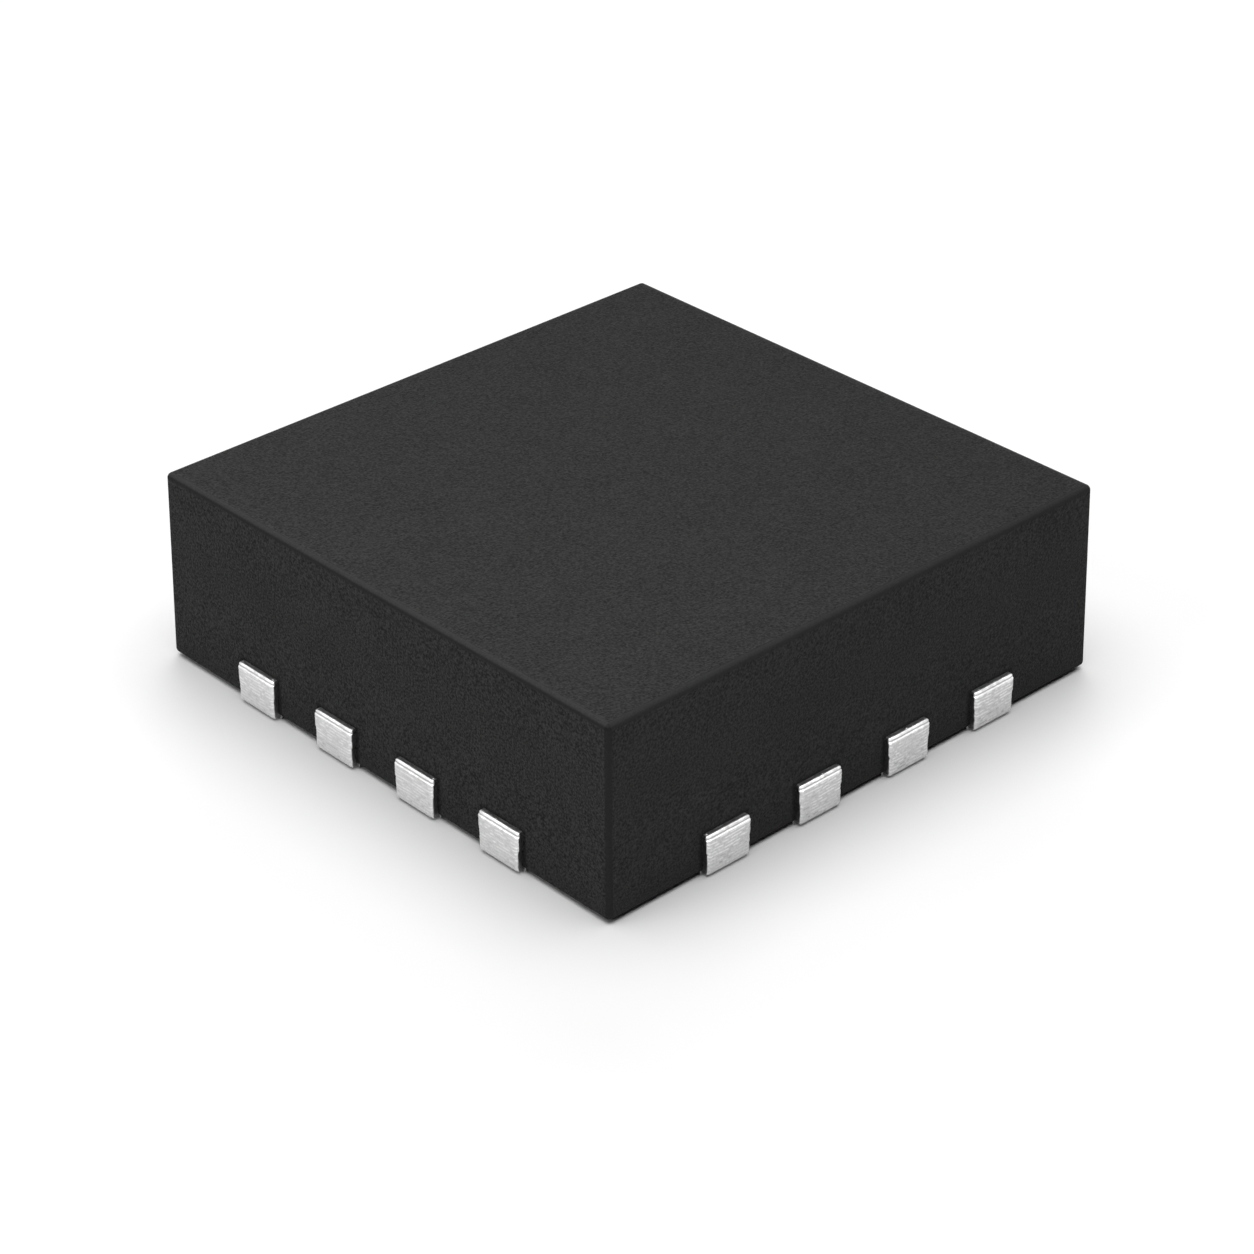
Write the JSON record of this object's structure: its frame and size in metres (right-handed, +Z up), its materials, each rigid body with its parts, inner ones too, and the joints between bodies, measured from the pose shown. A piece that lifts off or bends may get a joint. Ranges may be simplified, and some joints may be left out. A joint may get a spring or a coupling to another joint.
{
  "type": "qfn chip",
  "caption": "Flat square no-lead integrated circuit package: moulded block with metal lands round its underside and a thermal pad.",
  "frame": {"origin": "middle of the footprint, on the plane that the lands and the pad rest on", "axes": "+Z up out of the top face; +X and +Y along the sides, with the pin one corner at +X +Y"},
  "size_m": [0.003, 0.003, 0.0009],
  "materials": {
    "compound": "matt black epoxy moulding compound with a fine spark-eroded grain",
    "tin_plate": "matt tin over copper alloy, with fine strokes along the side",
    "tin_plate_pad": "matt tin over copper alloy",
    "adhesive": "silver-filled epoxy",
    "silicon": "polished silicon",
    "gold_wire": "drawn gold wire"
  },
  "bodies": {
    "root": {"mould_body": "compound", "lead_01": "tin_plate", "lead_02": "tin_plate", "lead_03": "tin_plate", "lead_04": "tin_plate", "lead_05": "tin_plate", "lead_06": "tin_plate", "lead_07": "tin_plate", "lead_08": "tin_plate", "lead_09": "tin_plate", "lead_10": "tin_plate", "lead_11": "tin_plate", "lead_12": "tin_plate", "lead_13": "tin_plate", "lead_14": "tin_plate", "lead_15": "tin_plate", "lead_16": "tin_plate", "die_paddle": "tin_plate_pad", "die_attach": "adhesive", "silicon_die": "silicon", "bond_wire_01": "gold_wire", "bond_wire_02": "gold_wire", "bond_wire_03": "gold_wire", "bond_wire_04": "gold_wire", "bond_wire_05": "gold_wire", "bond_wire_06": "gold_wire", "bond_wire_07": "gold_wire", "bond_wire_08": "gold_wire", "bond_wire_09": "gold_wire", "bond_wire_10": "gold_wire", "bond_wire_11": "gold_wire", "bond_wire_12": "gold_wire", "bond_wire_13": "gold_wire", "bond_wire_14": "gold_wire", "bond_wire_15": "gold_wire", "bond_wire_16": "gold_wire"}
  },
  "joints": []
}
